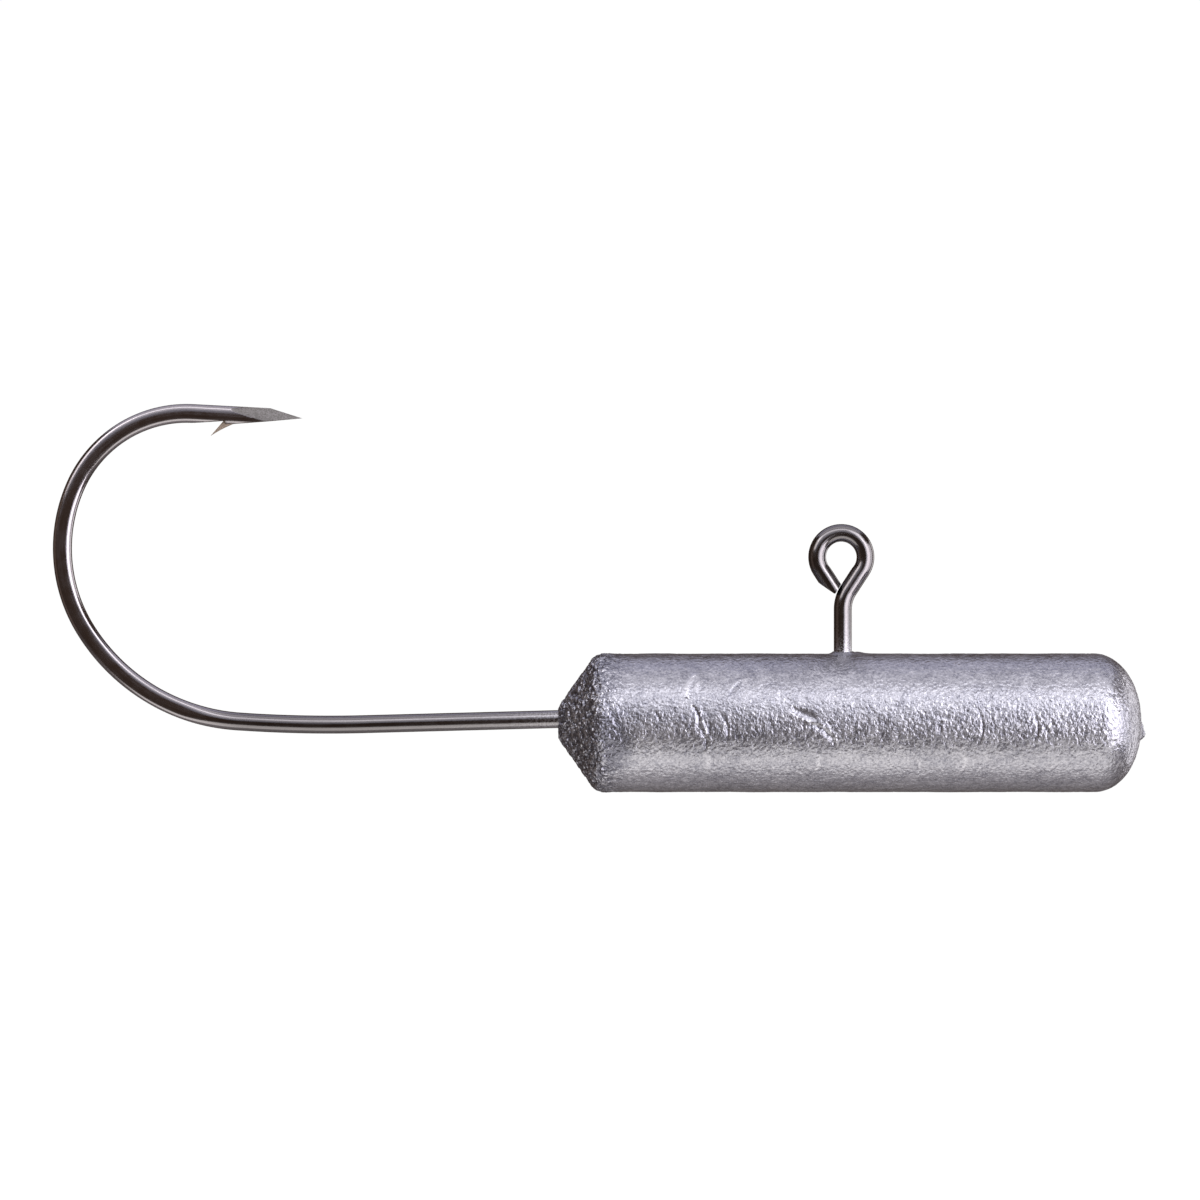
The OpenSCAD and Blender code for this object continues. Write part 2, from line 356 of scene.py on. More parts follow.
def forged_wire_tree():
    """Sweeps round wire along its middle line and forges it flat where the line says so."""
    inputs = size_inputs(WIRE_SIZES)
    inputs["Sides"] = ("NodeSocketInt", 64)
    shape = ShapeTree("Forged wire", inputs)
    tree, given = shape.tree, shape.given
    line = shape.add("GeometryNodeMeshToCurve", {"Mesh": given["Geometry"]})
    ring = shape.add(
        "GeometryNodeCurvePrimitiveCircle",
        {"Resolution": given["Sides"], "Radius": given["Wire Radius"]},
    )
    part_round = shape.add("GeometryNodeSplineParameter")
    ring = shape.store(ring.outputs["Curve"], "around", part_round.outputs["Factor"])
    swept = shape.add(
        "GeometryNodeCurveToMesh",
        {"Curve": line.outputs["Curve"], "Profile Curve": ring, "Fill Caps": True},
    )
    centre = shape.named("centre", "FLOAT_VECTOR")
    forged = shape.named("forged")
    here = shape.add("GeometryNodeInputPosition").outputs["Position"]
    away = shape.add("ShaderNodeSeparateXYZ", {0: vector_maths(tree, "SUBTRACT", here, centre)})
    spread = maths(tree, "DIVIDE", given["Forged Radius"], given["Wire Radius"])
    spread = maths(tree, "MULTIPLY_ADD", maths(tree, "SUBTRACT", spread, 1.0), forged, 1.0)
    loose = maths(tree, "ADD", given["Forged Edge"], given["Wire Radius"])
    tight = maths(tree, "SUBTRACT", given["Forged Half"], loose)
    half = maths(tree, "MULTIPLY_ADD", tight, forged, loose)
    wide = maths(tree, "MULTIPLY", away.outputs["Y"], spread)
    pressed = maths(
        tree, "SMOOTH_MIN", maths(tree, "ABSOLUTE", wide), half, given["Forged Edge"]
    )
    across = maths(tree, "MULTIPLY", pressed, maths(tree, "SIGN", wide))
    moved = shape.add(
        "ShaderNodeCombineXYZ",
        {
            "X": maths(tree, "MULTIPLY", away.outputs["X"], spread),
            "Y": across,
            "Z": maths(tree, "MULTIPLY", away.outputs["Z"], spread),
        },
    )
    placed = shape.add(
        "GeometryNodeSetPosition",
        {
            "Geometry": swept.outputs["Mesh"],
            "Position": vector_maths(tree, "ADD", centre, moved.outputs["Vector"]),
        },
    )
    return shape.close(placed.outputs["Geometry"])


def casting_skin_tree():
    """Gives smooth lead the skin of a raw casting: slow waves, pits, grain and crust."""
    inputs = size_inputs(SKIN_SIZES)
    inputs["Seed"] = ("NodeSocketVector", (3.1, 7.7, 1.9))
    shape = ShapeTree("Casting skin", inputs)
    tree, given = shape.tree, shape.given

    def textured(length_input, squash, detail, roughness):
        """Noise whose lumps are that long round the lead, and narrower along it by squash."""
        here = shape.add("GeometryNodeInputPosition").outputs["Position"]
        size = maths(tree, "DIVIDE", 1.0, given[length_input])
        scaled = add_node(tree, "ShaderNodeVectorMath", {0: here}, operation="SCALE")
        tree.links.new(size, scaled.inputs["Scale"])
        parts = shape.add("ShaderNodeSeparateXYZ", {0: scaled.outputs["Vector"]})
        lean = maths(tree, "MULTIPLY_ADD", parts.outputs["Z"], 0.35 * (squash - 1), 0.0)
        along = maths(tree, "MULTIPLY_ADD", parts.outputs["X"], squash, lean)
        leaning = shape.add(
            "ShaderNodeCombineXYZ",
            {"X": along, "Y": parts.outputs["Y"], "Z": parts.outputs["Z"]},
        )
        placed = vector_maths(tree, "ADD", leaning.outputs["Vector"], given["Seed"])
        return noise(tree, placed, 1.0, detail, roughness)

    rough = shape.named("rough")
    pitted = shape.named("pitted")
    wave = maths(tree, "SUBTRACT", textured("Wave Length", 1.0, 2.0, 0.5), 0.5)
    grain = maths(tree, "SUBTRACT", textured("Grain Length", 1.25, 3.0, 0.6), 0.5)
    crust = between(tree, textured("Crust Length", 1.0, 2.0, 0.6), 0.36, 0.62, -0.5, 0.5)
    crust = maths(tree, "MULTIPLY", crust, rough)
    pits = between(tree, textured("Pit Length", 1.6, 1.0, 0.5), 0.56, 0.70)
    pits = maths(tree, "MULTIPLY", pits, pitted)
    hollow = maths(tree, "MULTIPLY", pits, -1.0)
    lift = maths(tree, "MULTIPLY", wave, given["Wave Height"])
    lift = maths(tree, "MULTIPLY_ADD", grain, given["Grain Height"], lift)
    lift = maths(tree, "MULTIPLY_ADD", crust, given["Crust Height"], lift)
    lift = maths(tree, "MULTIPLY_ADD", hollow, given["Pit Depth"], lift)
    outwards = shape.add("GeometryNodeInputNormal").outputs["Normal"]
    offset = add_node(tree, "ShaderNodeVectorMath", {0: outwards}, operation="SCALE")
    tree.links.new(lift, offset.inputs["Scale"])
    stored = shape.store(given["Geometry"], "pit", pits)
    stored = shape.store(stored, "crust", crust)
    placed = shape.add(
        "GeometryNodeSetPosition", {"Geometry": stored, "Offset": offset.outputs["Vector"]}
    )
    return shape.close(placed.outputs["Geometry"])


# ---------------------------------------------------------------- the hook's line


def ahead(heading):
    return np.array([math.cos(heading), math.sin(heading)])


def leftward(heading):
    return np.array([-math.sin(heading), math.cos(heading)])


def wire_steps(hook):
    """The wire from its cut end to its tip: each step's straight run, bend radius and turn."""
    lead_back = -LEAD_LOW.x
    lead_axis = MOUNTS["tube_body"]["pos_m"][2]
    dip = hook.eye_dip
    eye_radius = hook.bore_radius - hook.eye_land + hook.wire_radius
    neck_side = hook.neck_radius * (1 - math.cos(dip))
    neck_run = (eye_radius * math.cos(dip) - hook.leg_x - neck_side) / math.sin(dip)
    neck_z = -(eye_radius + hook.neck_radius) * math.sin(dip) - neck_run * math.cos(dip)
    corner_z = lead_axis + hook.shank_rise + (lead_back + hook.leg_x) * math.tan(hook.shank_slope)
    elbow_turn = math.pi / 2 - hook.shank_slope
    elbow_reach = hook.elbow_radius * math.tan(elbow_turn / 2)
    in_lead = (lead_back + hook.leg_x) / math.cos(hook.shank_slope) - elbow_reach
    lower_turns = hook.sweep_turn + hook.heel_turn + hook.back_turn
    crown_turn = math.pi + hook.shank_slope + hook.front_slope - lower_turns
    return {
        "eye": (hook.end_run, eye_radius, -math.pi - 2 * dip),
        "neck": (neck_run, hook.neck_radius, dip),
        "leg": (neck_z - corner_z - elbow_reach, hook.elbow_radius, -elbow_turn),
        "shank": (in_lead + hook.shank_length, hook.sweep_radius, -hook.sweep_turn),
        "heel": (0.0, hook.heel_radius, -hook.heel_turn),
        "back": (0.0, hook.back_radius, -hook.back_turn),
        "crown": (0.0, hook.crown_radius, -crown_turn),
        "front": (hook.front_length, 0.0, 0.0),
    }


STATION_GAP = 0.2 * MM
STATION_TURN = math.radians(3.0)


class Wire:
    """Stations along the middle of the wire, and where each step starts."""

    def __init__(self, hook):
        steps = wire_steps(hook)
        eye_radius = steps["eye"][1]
        heading = math.pi / 2 + hook.eye_dip
        place = -eye_radius * ahead(hook.eye_dip) - hook.end_run * ahead(heading)
        run = 0.0
        self.places, self.runs, self.starts = [place], [run], {}
        for name, (straight, radius, turn) in steps.items():
            self.starts[name] = (place, heading, run)
            for k in range(count := math.ceil(straight / STATION_GAP)):
                self.places.append(place + straight * (k + 1) / count * ahead(heading))
                self.runs.append(run + straight * (k + 1) / count)
            place, run = self.places[-1], self.runs[-1]
            side = math.copysign(radius, turn)
            middle = place + side * leftward(heading)
            bend = abs(turn) * radius
            for k in range(count := math.ceil(max(bend / STATION_GAP, abs(turn) / STATION_TURN))):
                now = heading + turn * (k + 1) / count
                self.places.append(middle - side * leftward(now))
                self.runs.append(run + bend * (k + 1) / count)
            place, run, heading = self.places[-1], self.runs[-1], heading + turn
        self.tip = (place, heading)
        self.places.append(place + STATION_GAP * ahead(heading))
        self.runs.append(run + STATION_GAP)
        self.places, self.runs = np.array(self.places), np.array(self.runs)

    @staticmethod
    def frame_at(place, heading):
        """A matrix with X along the wire, Y across the hook's plane and Z to the left of X."""
        x, z = ahead(heading), leftward(heading)
        return Matrix(
            (
                (x[0], 0.0, z[0], place[0]),
                (0.0, 1.0, 0.0, 0.0),
                (x[1], 0.0, z[1], place[1]),
                (0.0, 0.0, 0.0, 1.0),
            )
        )


def soft_step(value, low, high):
    t = np.clip((value - low) / (high - low), 0.0, 1.0)
    return t * t * (3 - 2 * t)


def line_mesh(wire, hook, first, last):
    """The middle line of the wire from one run to another, with what the forging needs."""
    kept = (wire.runs >= first) & (wire.runs <= last)
    places, runs = wire.places[kept], wire.runs[kept]
    points = np.zeros((len(places), 3))
    points[:, 0], points[:, 2] = places[:, 0], places[:, 1]
    heel = wire.starts["heel"][2]
    forged = soft_step(runs, heel - 0.2 * hook.forging_run, heel + 0.8 * hook.forging_run)
    mesh = bpy.data.meshes.new("wire line")
    mesh.from_pydata(points.tolist(), [(k, k + 1) for k in range(len(points) - 1)], [])
    put_values(mesh, "centre", points, "FLOAT_VECTOR")
    put_values(mesh, "forged", forged)
    put_values(mesh, "along", runs / MM)
    return mesh


def put_values(mesh, name, values, kind="FLOAT"):
    layer = mesh.attributes.get(name) or mesh.attributes.new(name, kind, "POINT")
    key = "vector" if kind == "FLOAT_VECTOR" else "value"
    layer.data.foreach_set(key, np.asarray(values, np.float32).ravel())


def get_places(mesh):
    places = np.zeros(len(mesh.vertices) * 3, np.float32)
    mesh.vertices.foreach_get("co", places)
    return places.reshape(-1, 3).astype(float)


def set_places(mesh, places):
    mesh.vertices.foreach_set("co", places.astype(np.float32).ravel())
    mesh.update()


def swept_wire(wire, hook, finish, first=0.0, last=math.inf):
    tree = bpy.data.node_groups.get("Forged wire") or forged_wire_tree()
    values = size_values(hook, WIRE_SIZES, finish)
    values["Sides"] = hook.wire_sides
    return run_tree(tree, line_mesh(wire, hook, first, last), values)


# ---------------------------------------------------------------- work on the hook

PLANE_TOLERANCE = 1e-8

# How rough each worked face is left. Above 1 the steel is also bare.
STROKED, CUT, GROUND, CHISELLED = 0.35, 0.6, 1.0, 1.7


def grind_flat(bm, first, last, place, outwards, ground):
    """Grinds off what lies beyond a plane, between two runs along the wire."""
    along = bm.verts.layers.float["along"]
    points = {v for v in bm.verts if first <= v[along] * MM <= last}
    edges = [e for e in bm.edges if points.issuperset(e.verts)]
    faces = [f for f in bm.faces if points.issuperset(f.verts)]
    cut = bmesh.ops.bisect_plane(
        bm,
        geom=[*points, *edges, *faces],
        dist=PLANE_TOLERANCE,
        plane_co=place,
        plane_no=outwards,
        clear_outer=True,
    )
    rim = [e for e in cut["geom_cut"] if isinstance(e, bmesh.types.BMEdge)]
    made = bmesh.ops.contextual_create(bm, geom=rim)["faces"]
    if len(made) != 1:
        raise RuntimeError(f"a ground flat closed with {len(made)} faces")
    made[0][bm.faces.layers.float["ground"]] = ground


def turned(matrix, direction):
    return (matrix.to_3x3() @ Vector(direction)).normalized()


def cut_wire_end(bm, wire, hook):
    """Cuts the free end flat beside the neck, and bevels it underneath."""
    neck = wire.frame_at(*wire.starts["neck"][:2])
    side = neck @ Vector((0.0, 0.0, -hook.wire_radius - hook.end_gap))
    grind_flat(bm, 0.0, hook.end_run, side, turned(neck, (0, 0, 1)), CUT)
    below = Vector((0.0, 0.0, -hook.end_bevel_drop))
    bevel = (-math.sin(hook.end_bevel), 0, -math.cos(hook.end_bevel))
    grind_flat(bm, 0.0, hook.end_run, below, bevel, CUT)


def grind_point(bm, wire, hook):
    """Grinds two side facets that meet in a ridge, and the flat underneath."""
    tip = wire.frame_at(*wire.tip)
    front, end = wire.starts["front"][2], math.inf
    peak = tip @ Vector((0.0, 0.0, hook.tip_rise))
    ridge, lean, under = hook.ridge_slope, hook.facet_lean, hook.under_slope
    for side in (-1, 1):
        up = math.sin(lean)
        facet = (up * math.sin(ridge), side * math.cos(lean), up * math.cos(ridge))
        grind_flat(bm, front, end, peak, turned(tip, facet), GROUND)
    flat = (math.sin(under), 0, -math.cos(under))
    grind_flat(bm, front, end, peak, turned(tip, flat), STROKED)


def press_eye(mesh, hook):
    """Presses the inside of the eye round, as the forming pin does."""
    places = get_places(mesh)
    out = np.hypot(places[:, 0], places[:, 2])
    inside = out < hook.bore_radius
    places[inside, 0] *= hook.bore_radius / out[inside]
    places[inside, 2] *= hook.bore_radius / out[inside]
    set_places(mesh, places)


def block_mesh(matrix, low, high):
    """A closed block between two corners, placed by a matrix."""
    bm = bmesh.new()
    bmesh.ops.create_cube(bm, size=1.0)
    size = Vector(high) - Vector(low)
    middle = (Vector(high) + Vector(low)) / 2
    bmesh.ops.transform(
        bm, matrix=matrix @ Matrix.Translation(middle) @ Matrix.Diagonal((*size, 1)), verts=bm.verts
    )
    mesh = bpy.data.meshes.new("block")
    bm.to_mesh(mesh)
    bm.free()
    return mesh


def combine(mesh, tool, operation):
    """Joins a mesh with a tool mesh, or cuts the tool out of it."""
    holder = bpy.data.objects.new("work", mesh)
    cutter = bpy.data.objects.new("tool", tool)
    for made in (holder, cutter):
        bpy.context.scene.collection.objects.link(made)
    modifier = holder.modifiers.new("combine", "BOOLEAN")
    modifier.operation = operation
    modifier.solver = "EXACT"
    modifier.object = cutter
    done = evaluated_mesh(holder)
    holder.modifiers.remove(modifier)
    for made in (holder, cutter):
        bpy.data.objects.remove(made)
    return done


CHISEL_LENGTH = 2.4  # in wire widths
BARB_BELLY = 0.38 * MM
BARB_HOLLOW = 0.34 * MM


def chisel_notch(mesh, wire, hook):
    """Cuts the sloping notch behind the barb."""
    tip = wire.frame_at(*wire.tip)
    corner = Vector((-hook.notch_place, 0.0, hook.notch_depth - hook.forged_radius))
    slope = tip @ Matrix.Translation(corner) @ Matrix.Rotation(-hook.chisel_slope, 4, "Y")
    wide = 2 * hook.forged_radius
    chisel = block_mesh(slope, (-CHISEL_LENGTH * wide, -wide, -wide), (0, wide, 0))
    return combine(mesh, chisel, "DIFFERENCE")


def curve_through(first, handle, last, count):
    """Points of a quadratic curve."""
    t = np.linspace(0, 1, count)[:, None]
    first, handle, last = (np.array(p, float) for p in (first, handle, last))
    return (1 - t) ** 2 * first + 2 * t * (1 - t) * handle + t**2 * last


def barb_mesh(wire, hook):
    """The barb: a thin curved chip that stands off the wire and narrows to its end."""
    skin = hook.notch_depth - hook.forged_radius
    root, neck = -hook.barb_root, -hook.barb_neck
    end = (-hook.barb_end, -hook.barb_drop)
    belly = (neck, 1.1 * skin - BARB_BELLY)
    hollow = (neck - BARB_HOLLOW, 2.2 * skin)
    outer = curve_through((root, -0.5 * hook.forged_radius), belly, end, 14)
    inner = curve_through(end, hollow, (neck, skin), 10)
    top = [(neck, 0.0), (root, 0.0)]
    outline = [*outer.tolist(), *inner[1:].tolist(), *top]
    tip = wire.frame_at(*wire.tip)
    bm = bmesh.new()
    sides = []
    for side in (-1, 1):
        ring = []
        for x, z in outline:
            part = np.clip((-x - hook.barb_root) / (hook.barb_end - hook.barb_root), 0, 1)
            width = hook.barb_width + (hook.barb_end_width - hook.barb_width) * part
            ring.append(bm.verts.new(tip @ Vector((x, side * width / 2, z))))
        sides.append(ring)
    near, far = sides
    count = len(outline)
    for k in range(count):
        after = (k + 1) % count
        bm.faces.new((near[k], near[after], far[after], far[k]))
    bm.faces.new(near[::-1])
    bm.faces.new(far)
    bmesh.ops.recalc_face_normals(bm, faces=bm.faces)
    ground = bm.faces.layers.float.new("ground")
    for face in bm.faces:
        face[ground] = CHISELLED
    mesh = bpy.data.meshes.new("barb")
    bm.to_mesh(mesh)
    bm.free()
    return mesh


# ---------------------------------------------------------------- work on the lead


NOSE_STRETCH = 1.3  # length of the nose's outline, over the radius of the lead


def lead_outline(lead):
    """Rings from the tail to the nose: distance along X, and radius."""
    back = LEAD_LOW.x
    gap = lead.mesh_gap
    turn = lead.taper
    shoulder_side = lead.radius - lead.shoulder_radius * (1 - math.cos(turn))
    shoulder_x = back + (shoulder_side - lead.tail_radius) / math.tan(turn)
    shoulder_x += lead.shoulder_radius * math.sin(turn)
    nose_start = lead.nose_x - lead.nose_length

    def steps(distance):
        return np.linspace(0, 1, math.ceil(distance / gap) + 1)[1:, None]

    middle, rim = np.array([[back, 0.0], [back, lead.tail_radius]])
    slope_end = np.array([shoulder_x - lead.shoulder_radius * math.sin(turn), shoulder_side])
    flat = middle + steps(lead.tail_radius) * (rim - middle)
    slope = rim + steps(np.hypot(*(slope_end - rim))) * (slope_end - rim)
    bend = turn * (steps(turn * lead.shoulder_radius) - 1)
    shoulder_out = lead.radius - lead.shoulder_radius * (1 - np.cos(bend))
    shoulder = np.hstack([shoulder_x + lead.shoulder_radius * np.sin(bend), shoulder_out])
    part = steps(nose_start - shoulder_x)
    cylinder = np.hstack([shoulder_x + part * (nose_start - shoulder_x), lead.radius + 0 * part])
    round_up = math.pi / 2 * steps(NOSE_STRETCH * lead.radius)
    power = 2 / lead.nose_fullness
    nose_out = lead.radius * np.clip(np.cos(round_up), 0, 1) ** power
    nose_along = lead.nose_x - lead.nose_length * (1 - np.sin(round_up) ** power)
    nose = np.hstack([nose_along, nose_out])
    rings = np.vstack([middle, flat, slope, shoulder, cylinder, nose])
    return rings, shoulder_x, nose_start


# Marks that handling has left on the lead, and one painted shadow: kind, distance along X and height
# above the axis of its two ends, its width, and its depth, all in millimetres. They face -Y.
MARKS = (
    ("stain", (-15.9, 0.9), (-15.1, -3.0), 0.85, 0.0),
    ("rub", (-10.35, 1.7), (-9.75, 3.4), 0.17, 0.06),
    ("rub", (-9.75, 2.1), (-9.5, 2.9), 0.12, 0.04),
    ("scratch", (-10.15, 1.4), (-9.6, -0.1), 0.10, 0.09),
    ("scratch", (-9.6, -0.1), (-9.2, -1.7), 0.11, 0.09),
    ("scratch", (-8.15, 0.75), (-7.8, -0.95), 0.09, 0.06),
    ("dent", (-8.95, 0.3), (-9.05, -0.9), 0.16, 0.05),
    ("scratch", (-12.6, 0.95), (-12.2, 0.15), 0.10, 0.06),
    ("scratch", (-7.6, 1.9), (-6.5, 2.9), 0.10, 0.05),
    ("rub", (-6.8, 2.6), (-6.2, 3.1), 0.10, 0.03),
    ("rub", (-6.4, 0.85), (-5.9, 0.85), 0.08, 0.03),
    ("dent", (-3.65, 1.1), (-1.9, 0.4), 0.30, 0.12),
    ("scratch", (-2.3, 0.1), (-0.7, -1.35), 0.13, 0.10),
    ("scratch", (0.6, 0.8), (0.65, 0.1), 0.07, 0.04),
    ("dent", (5.9, 0.6), (6.8, 0.45), 0.17, 0.06),
    ("scratch", (6.05, 0.25), (6.1, -0.75), 0.07, 0.04),
    ("scratch", (8.6, 1.1), (8.65, -1.3), 0.08, 0.05),
    ("scratch", (12.25, 0.9), (12.3, -1.1), 0.09, 0.07),
    ("scratch", (12.85, 0.1), (13.2, -0.7), 0.09, 0.06),
    ("rub", (11.7, 2.4), (12.2, 3.4), 0.08, 0.04),
    ("rub", (-1.9, -1.9), (-1.95, -3.1), 0.10, 0.02),
    ("rub", (-9.1, -1.9), (-9.1, -2.9), 0.14, 0.02),
    ("rub", (7.7, -1.9), (7.6, -3.1), 0.12, 0.02),
    ("scratch", (4.2, -1.8), (4.7, -3.0), 0.08, 0.03),
)
MARK_PAST = 0.1 * MM
MARK_FADE = 0.25 * MM
MARK_BOW = 0.12


def press_marks(x, height, facing, radius):
    """Depth of all the marks at each point of the lead, in metres, and how much lighter or darker it
    is: rubs are worn lighter, scratch and dent lips get painted highlights, and their grooves and bowls
    and the painted shadow get painted shade.
    """
    round_place = radius * np.arcsin(np.clip(height / radius, -1, 1))
    press, rubbed = np.zeros_like(x), np.zeros_like(x)
    for kind, start, end, width, depth in MARKS:
        ends = np.array([start, end]) * MM
        ends[:, 1] = radius * np.arcsin(np.clip(ends[:, 1] / radius, -1, 1))
        span = ends[1] - ends[0]
        size = np.hypot(*span)
        along = ((x - ends[0, 0]) * span[0] + (round_place - ends[0, 1]) * span[1]) / size
        across = ((x - ends[0, 0]) * span[1] - (round_place - ends[0, 1]) * span[0]) / size
        middle = np.clip(along / size, 0, 1) * 2 - 1
        bow = across + MARK_BOW * size * (1 - middle**2)
        fade = soft_step(along, -MARK_PAST, MARK_FADE)
        fade *= soft_step(-along, -size - MARK_PAST, -size + MARK_FADE)
        wide = width * MM
        groove = np.exp(-((bow / wide) ** 2)) * fade * facing
        if kind == "scratch":
            lip = np.exp(-(((bow + 1.6 * wide) / (0.8 * wide)) ** 2)) * fade * facing
            press += depth * MM * (0.6 * lip - groove)
            # Painted highlight along the lip, painted shade in the groove.
            rubbed += 0.5 * lip - 0.5 * groove
        elif kind == "dent":
            oval = 1 - middle**2
            bowl = np.clip(oval - (across / wide) ** 2, 0, 1) ** 0.7 * facing
            lip = np.exp(-(((across - 1.1 * wide) / (0.4 * wide)) ** 2)) * fade * facing
            press += depth * MM * (0.4 * lip - bowl)
            # Painted highlight on the lip, painted shade in the bowl.
            rubbed += 0.5 * lip - 0.45 * bowl
        elif kind == "stain":
            # A painted shadow: it darkens the colour and has no depth.
            rubbed -= 0.7 * groove
        else:
            press += depth * MM * groove
            rubbed += 0.8 * groove
    return press, rubbed


SEAM_BEAT = 0.71 * MM
SEAM_DRIFT = 1.9 * MM
FLASH_REACH = 0.2 * MM
FLASH_LUMP = (0.95 * MM, 0.45 * MM, 0.4 * MM)  # place in front of the leg, and its two half sizes
TORN_ACROSS, TORN_UP, TORN_DEPTH = 0.11 * MM, 0.13 * MM, 0.07 * MM
CRUST_FADE = (-0.6 * MM, 1.7 * MM)  # from the shoulder, where the crust of the taper fades out
PIT_BAND = (0.4 * MM, 1.9 * MM)  # drop below the axis, and half height, of the most pitted band


def flash_at_leg(ahead_of_leg, y, hook):
    """Where lead has crept up round the leg, with a lump in front of it."""
    from_leg = np.hypot(ahead_of_leg, y)
    creep = np.exp(-(((from_leg - hook.wire_radius).clip(0) / FLASH_REACH) ** 2))
    place, half_length, half_width = FLASH_LUMP
    lump = ((ahead_of_leg - place) / half_length) ** 2 + (y / half_width) ** 2
    return np.maximum(creep, 0.7 * np.exp(-lump))


def raise_stub(points, lead, nose_start):
    """Moves the points of the nose out to the torn face and the flared side of the stub."""
    middle_x = lead.nose_x + lead.stub_height
    up = points[:, 2] - (MOUNTS["tube_body"]["pos_m"][2] - lead.stub_drop)
    face = middle_x - math.tan(lead.stub_tilt) * up
    from_stub = np.hypot(points[:, 1], up / math.cos(lead.stub_tilt))
    face -= (from_stub - lead.stub_radius).clip(0) / math.tan(lead.stub_flare)
    torn = 0.5 + 0.5 * np.sin(points[:, 1] / TORN_ACROSS + 2 * np.sin(up / TORN_UP))
    face -= TORN_DEPTH * torn * (from_stub < lead.stub_radius)
    on_stub = (points[:, 0] > nose_start) & (face > points[:, 0])
    points[on_stub, 0] = face[on_stub]


def ring_faces(count, sides):
    """Faces between rings of points, and fans to the two points after them, tail and nose."""
    faces = []
    last = (count - 1) * sides
    for ring in range(0, last, sides):
        for j in range(sides):
            after = (j + 1) % sides
            faces.append((ring + j, ring + after, ring + sides + after, ring + sides + j))
    tail, nose = count * sides, count * sides + 1
    faces += [(tail, (j + 1) % sides, j) for j in range(sides)]
    faces += [(nose, last + j, last + (j + 1) % sides) for j in range(sides)]
    return faces


def lead_mesh(lead, hook):
    """Smooth lead with its seam, flash, stub and marks, ready for its skin."""
    rings, shoulder_x, nose_start = lead_outline(lead)
    axis = MOUNTS["tube_body"]["pos_m"][2]
    body_rings = rings[1:-1]
    turn = np.arange(lead.sides) * 2 * math.pi / lead.sides
    slope = np.gradient(rings, axis=0)
    slope /= np.hypot(slope[:, 0], slope[:, 1])[:, None]
    out_x, out_r = (-slope[1:-1, 1], slope[1:-1, 0])
    x = np.repeat(body_rings[:, 0], lead.sides)
    r = np.repeat(body_rings[:, 1], lead.sides)
    turns = np.tile(turn, len(body_rings))
    y, z = -r * np.cos(turns), r * np.sin(turns)
    normal = np.stack(
        [
            np.repeat(out_x, lead.sides),
            -np.repeat(out_r, lead.sides) * np.cos(turns),
            np.repeat(out_r, lead.sides) * np.sin(turns),
        ],
        axis=1,
    )
    points = np.stack([x, y, z + axis], axis=1)
    points = np.vstack([points, [[rings[0, 0], 0, axis], [rings[-1, 0], 0, axis]]])
    normal = np.vstack([normal, [[-1, 0, 0], [1, 0, 0]]])
    x, y, z = points[:, 0], points[:, 1], points[:, 2] - axis

    facing = soft_step(-y, 0.0, 0.2 * lead.radius)
    lift, rubbed = press_marks(x, z, facing, lead.radius)
    uneven = 0.65 + 0.35 * np.sin(x / SEAM_BEAT) * np.sin(x / SEAM_DRIFT + 1.3)
    seam = uneven * np.exp(-((y / lead.seam_width) ** 2))
    lift += lead.seam_height * seam
    rubbed += np.where(z > 0, seam, 0.0)
    lift += np.where(z > 0, lead.flash_height * flash_at_leg(x - hook.leg_x, y, hook), 0.0)
    points += normal * lift[:, None]
    raise_stub(points, lead, nose_start)

    mesh = bpy.data.meshes.new("smooth lead")
    mesh.from_pydata(points.tolist(), [], ring_faces(len(body_rings), lead.sides))
    on_taper = 1 - soft_step(x, *(shoulder_x + fade for fade in CRUST_FADE))
    on_nose = soft_step(x, nose_start, lead.nose_x)
    on_body = (1 - on_taper) * (1 - 0.6 * on_nose)
    band = np.exp(-(((z + PIT_BAND[0]) / PIT_BAND[1]) ** 2)) * (y < 0)
    put_values(mesh, "rough", np.clip(on_taper + 0.15 * on_nose, 0, 1))
    unmarked = np.clip(1 + 10 * np.minimum(lift, 0) / MM, 0, 1)
    put_values(mesh, "pitted", on_body * (0.25 + 0.65 * band) * unmarked)
    put_values(mesh, "rubbed", rubbed)
    bm = bmesh.new()
    bm.from_mesh(mesh)
    bmesh.ops.recalc_face_normals(bm, faces=bm.faces)
    bm.to_mesh(mesh)
    bm.free()
    return mesh


# ---------------------------------------------------------------- finishes


def new_material(name):
    material = bpy.data.materials.new(name)
    material.use_nodes = True
    material.node_tree.nodes.clear()
    return material, material.node_tree


def finish_with(tree, shader):
    add_node(tree, "ShaderNodeOutputMaterial", {"Surface": shader.outputs[0]})


def in_millimetres(tree):
    """Object coordinates in millimetres."""
    place = tree.nodes.new("ShaderNodeTexCoord").outputs["Object"]
    made = add_node(tree, "ShaderNodeMapping", {"Vector": place, "Scale": (1 / MM,) * 3})
    return made.outputs["Vector"]


def value_of(tree, name):
    return add_node(tree, "ShaderNodeAttribute", attribute_name=name).outputs["Fac"]


def mix_colour(tree, share_of_second, first, second):
    made = add_node(
        tree, "ShaderNodeMix", {0: share_of_second, 6: first, 7: second}, data_type="RGBA"
    )
    return made.outputs[2]


def bump(tree, height, distance, strength=1.0, below=None):
    inputs = {"Height": height, "Distance": distance, "Strength": strength}
    if below is not None:
        inputs["Normal"] = below
    return add_node(tree, "ShaderNodeBump", inputs).outputs["Normal"]


def solid(rgb):
    return (*rgb, 1.0)


